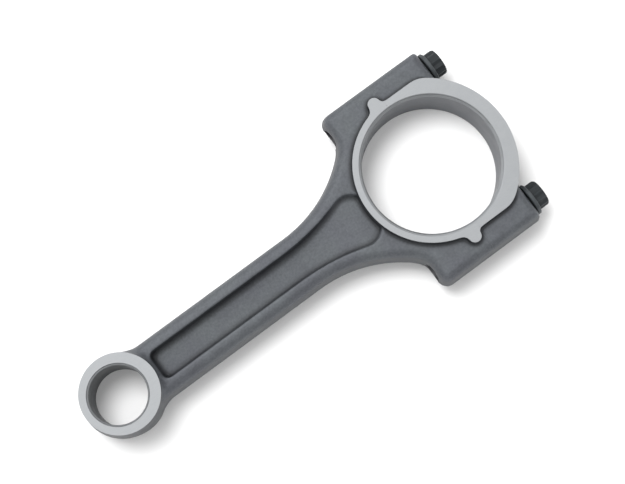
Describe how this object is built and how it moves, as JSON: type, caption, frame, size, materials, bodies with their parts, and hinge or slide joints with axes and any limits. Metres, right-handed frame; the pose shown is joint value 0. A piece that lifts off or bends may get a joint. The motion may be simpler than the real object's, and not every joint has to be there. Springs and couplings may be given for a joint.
{
  "type": "connecting rod",
  "caption": "Forged I-beam engine connecting rod whose big end splits at a screwed bearing cap, with split bearing shells and a small-end bush.",
  "frame": {"origin": "centre of the rod's bounding box, on the plane of the lower side faces that the rod lies on", "axes": "+X from the small end to the big end, +Y across the rod, +Z along the bores, up from the face it lies on"},
  "size_m": [0.2072, 0.0864, 0.024],
  "materials": {
    "forged_steel": "shot-peened forging, ground side faces",
    "shell_metal": "dull grey overlay",
    "bush_metal": "dull bored lining",
    "bolt_steel": "black oxide",
    "washer_steel": "black oxide, satin"
  },
  "bodies": {
    "rod": {"rod_forging": "forged_steel", "bearing_shell_rod_side": "shell_metal", "small_end_bush": "bush_metal"},
    "cap": {"bearing_cap": "forged_steel", "bearing_shell_cap_side": "shell_metal"},
    "washer_left": {"bolt_washer_left": "washer_steel"},
    "washer_right": {"bolt_washer_right": "washer_steel"},
    "bolt_left": {"cap_bolt_left": "bolt_steel"},
    "bolt_right": {"cap_bolt_right": "bolt_steel"}
  },
  "joints": [
    {"name": "cap_lift_off", "type": "slide", "parent": "rod", "child": "cap", "axis": [1, 0, 0], "range_m": [0, 0.045]},
    {"name": "washer_left_travel", "type": "slide", "parent": "cap", "child": "washer_left", "axis": [1, 0, 0], "range_m": [0, 0.018]},
    {"name": "washer_right_travel", "type": "slide", "parent": "cap", "child": "washer_right", "axis": [1, 0, 0], "range_m": [0, 0.018]},
    {"name": "bolt_left_turn", "type": "hinge", "parent": "washer_left", "child": "bolt_left", "pos_m": [0.0939, 0.0342, 0.012], "axis": [1, 0, 0], "range_deg": [0, 6480]},
    {"name": "bolt_right_turn", "type": "hinge", "parent": "washer_right", "child": "bolt_right", "pos_m": [0.0939, -0.0342, 0.012], "axis": [1, 0, 0], "range_deg": [0, 6480]}
  ],
  "couplings": [
    {"joint": "bolt_left_turn", "follows": "washer_left_travel", "rad_per_m": 6283.2},
    {"joint": "bolt_right_turn", "follows": "washer_right_travel", "rad_per_m": 6283.2}
  ]
}
